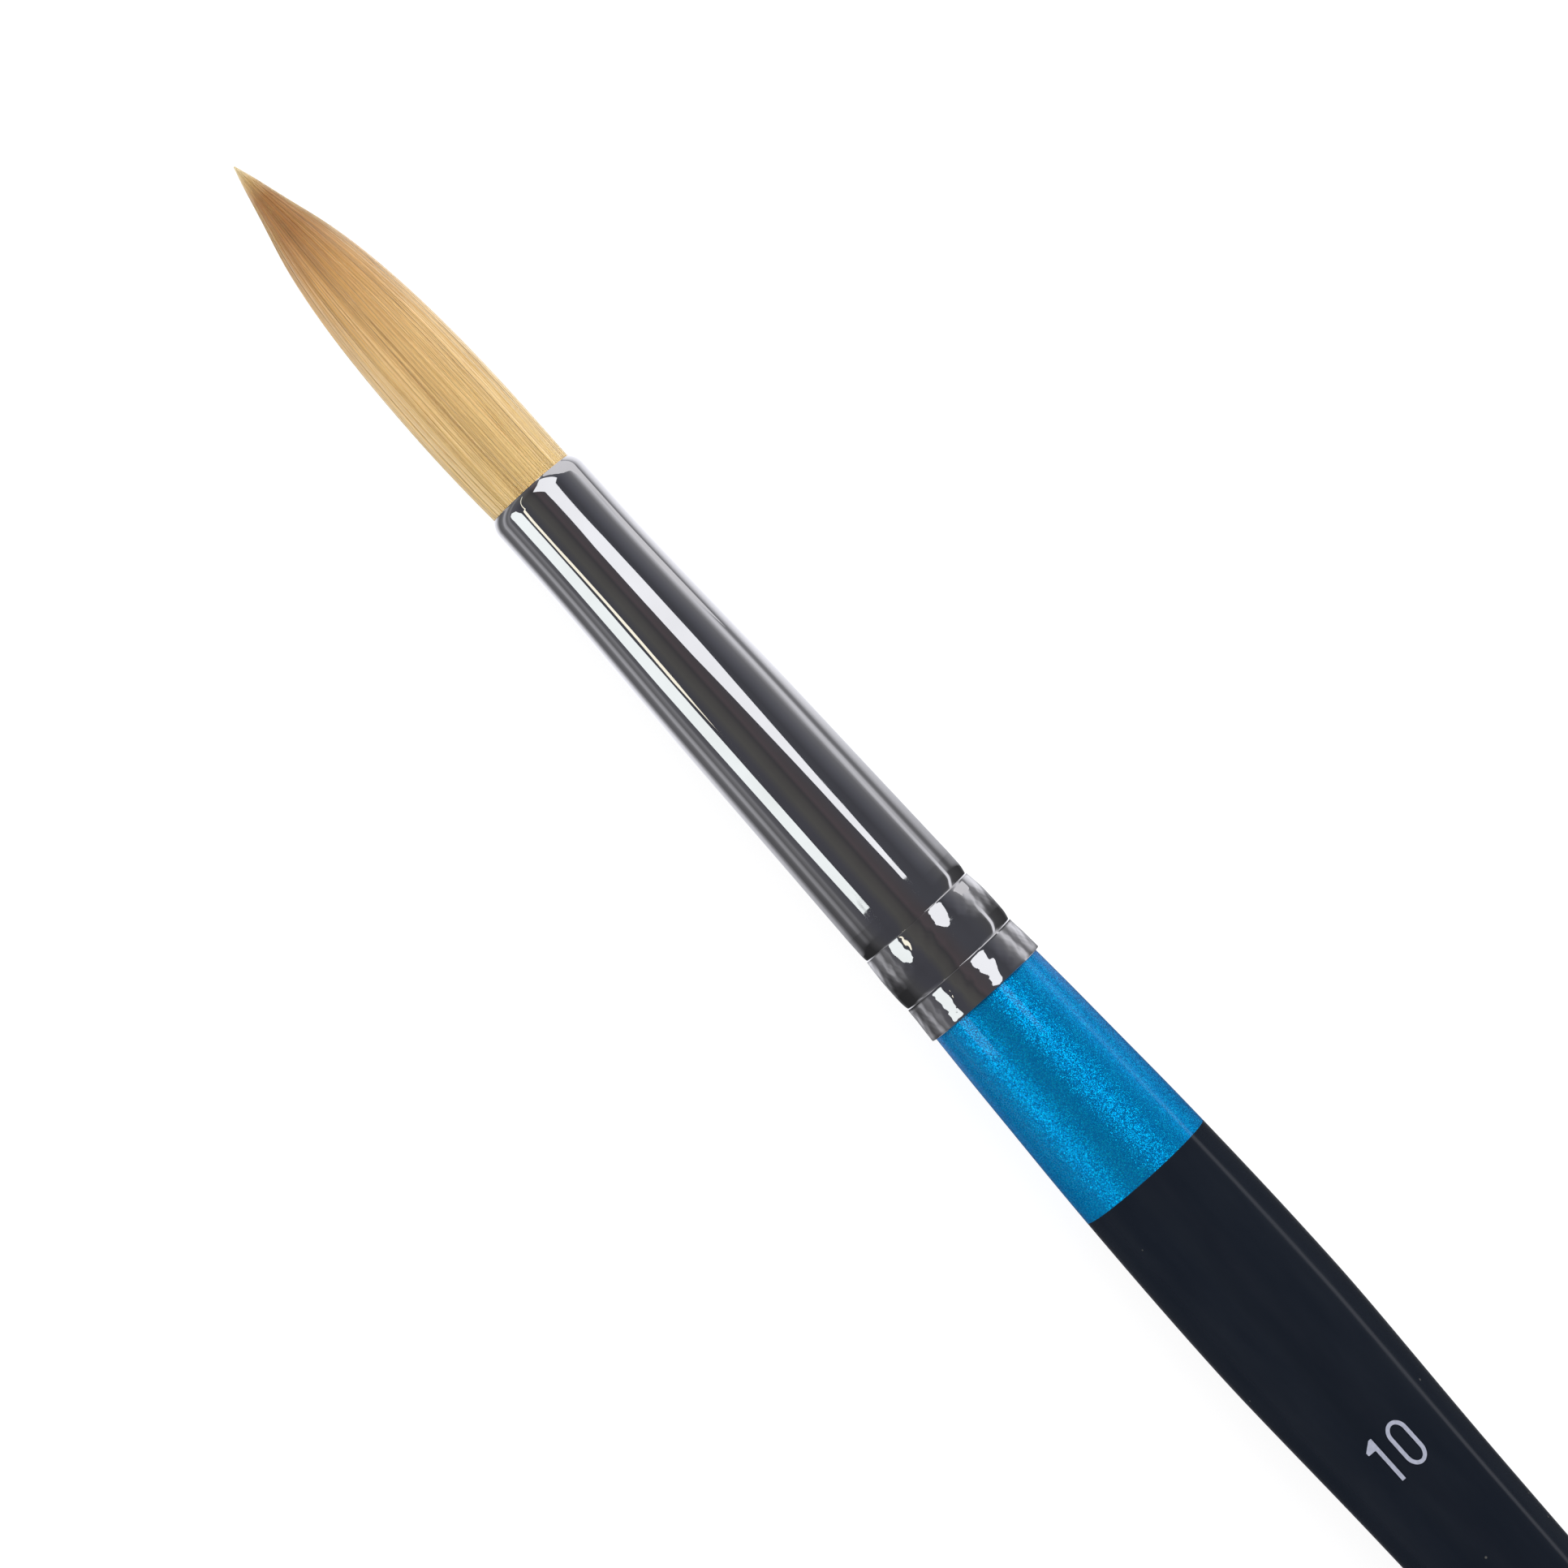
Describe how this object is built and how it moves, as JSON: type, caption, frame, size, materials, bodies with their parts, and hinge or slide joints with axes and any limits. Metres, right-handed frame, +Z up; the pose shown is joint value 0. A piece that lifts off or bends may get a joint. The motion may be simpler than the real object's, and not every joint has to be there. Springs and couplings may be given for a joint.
{
  "type": "round brush",
  "caption": "Round brush with a pointed filament tuft that flexes, a crimped metal ferrule and a tapered lacquered handle.",
  "frame": {"origin": "on the surface the brush lies on, below the axis, halfway between the tuft's tip and the handle's end", "axes": "+X along the brush's axis towards the tuft's tip, +Y to the left looking along +X, +Z up; the printed number faces +Z"},
  "size_m": [0.2118, 0.0102, 0.0102],
  "materials": {
    "wood": "sanded hardwood under lacquer",
    "black_lacquer": "high gloss",
    "blue_lacquer": "pearl under clear gloss",
    "print": "silver-grey print",
    "nickel": "bright nickel plate on brass",
    "glue": "cured glue",
    "resin": "amber epoxy",
    "thread": "twisted thread",
    "filament": "golden tapered synthetic filament"
  },
  "bodies": {
    "handle_and_ferrule": {"handle_core": "wood", "black_lacquer": "black_lacquer", "blue_lacquer_band": "blue_lacquer", "size_mark": "print", "ferrule": "nickel", "handle_glue": "glue", "hair_setting_resin": "resin", "hair_binding_thread": "thread", "hair_root": "filament", "hair_heel": "filament"},
    "tuft_belly": {"hair_belly": "filament", "hair_waist": "filament"},
    "tuft_point": {"hair_point": "filament"}
  },
  "joints": [
    {"name": "belly_flex", "type": "hinge", "parent": "handle_and_ferrule", "child": "tuft_belly", "pos_m": [0.08165, 0, 0.00511], "axis": [0, 0, 1], "range_deg": [-35, 35], "stiffness_Nm_per_rad": 0.005, "deforming": ["hair_heel"]},
    {"name": "point_flex", "type": "hinge", "parent": "tuft_belly", "child": "tuft_point", "pos_m": [0.09215, 0, 0.00511], "axis": [0, 0, 1], "range_deg": [-45, 45], "stiffness_Nm_per_rad": 0.0008, "deforming": ["hair_waist"]}
  ]
}
